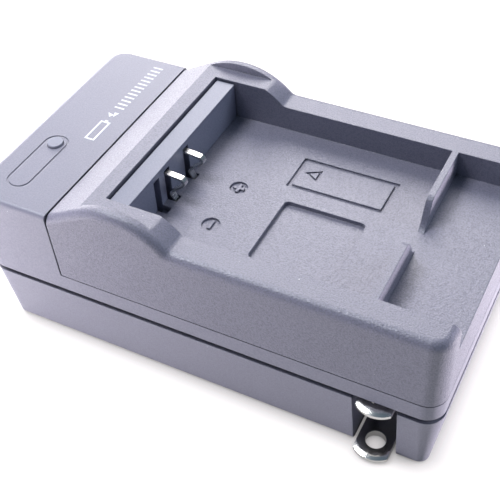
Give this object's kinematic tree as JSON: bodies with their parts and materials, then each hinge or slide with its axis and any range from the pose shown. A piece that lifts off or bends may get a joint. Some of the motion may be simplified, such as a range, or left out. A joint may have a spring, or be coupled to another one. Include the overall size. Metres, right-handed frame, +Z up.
{
  "type": "camera battery charger",
  "caption": "Battery charger with a humped clip-on battery plate, sprung contacts in the bay, a charge lamp and a fold-out mains plug.",
  "frame": {"origin": "middle of the housing's bottom face", "axes": "+X from the lamp end to the plug end, +Y to the back, +Z up out of the battery bay"},
  "size_m": [0.0906, 0.0524, 0.0383],
  "materials": {
    "housing_plastic": "fine moulded texture, slate grey",
    "block_plastic": "smooth dark grey",
    "contact_metal": "bright nickel plate",
    "blade_metal": "bright nickel plate",
    "brass_strip": "plain rolled strip",
    "lamp_plastic": "milky clear",
    "board_laminate": "lacquered laminate",
    "ferrite": "ground ferrite",
    "winding_tape": "wrapped tape",
    "component_sleeve": "shrunk sleeve",
    "component_body": "moulded epoxy",
    "fuse_ceramic": "glazed ceramic",
    "screw_steel": "zinc plated"
  },
  "bodies": {
    "housing": {"base_shell": "housing_plastic", "top_shell": "housing_plastic", "adapter_plate": "housing_plastic", "contact_block": "block_plastic", "contact_lead_front": "brass_strip", "contact_lead_rear": "brass_strip", "mains_clip_left": "brass_strip", "mains_clip_right": "brass_strip", "lamp_lens": "lamp_plastic", "charge_led": "lamp_plastic", "circuit_board": "board_laminate", "transformer_core": "ferrite", "transformer_winding": "winding_tape", "input_capacitor": "component_sleeve", "output_capacitor": "component_sleeve", "rectifier": "component_body", "fuse": "fuse_ceramic", "control_chip": "component_body", "case_screws": "screw_steel"},
    "plug": {"plug_rotor": "block_plastic", "plug_blade_upper": "blade_metal", "plug_blade_lower": "blade_metal", "pivot_pins": "brass_strip"},
    "contact_front": {"contact_front": "contact_metal"},
    "contact_rear": {"contact_rear": "contact_metal"}
  },
  "joints": [
    {"name": "plug_fold", "type": "hinge", "parent": "housing", "child": "plug", "pos_m": [0.0342, -0.0026, 0.00725], "axis": [1, 0, 0], "range_deg": [0, 90]},
    {"name": "contact_front_press", "type": "slide", "parent": "housing", "child": "contact_front", "axis": [-1, 0, 0], "range_m": [0, 0.0014], "stiffness_N_per_m": 500},
    {"name": "contact_rear_press", "type": "slide", "parent": "housing", "child": "contact_rear", "axis": [-1, 0, 0], "range_m": [0, 0.0014], "stiffness_N_per_m": 500}
  ]
}
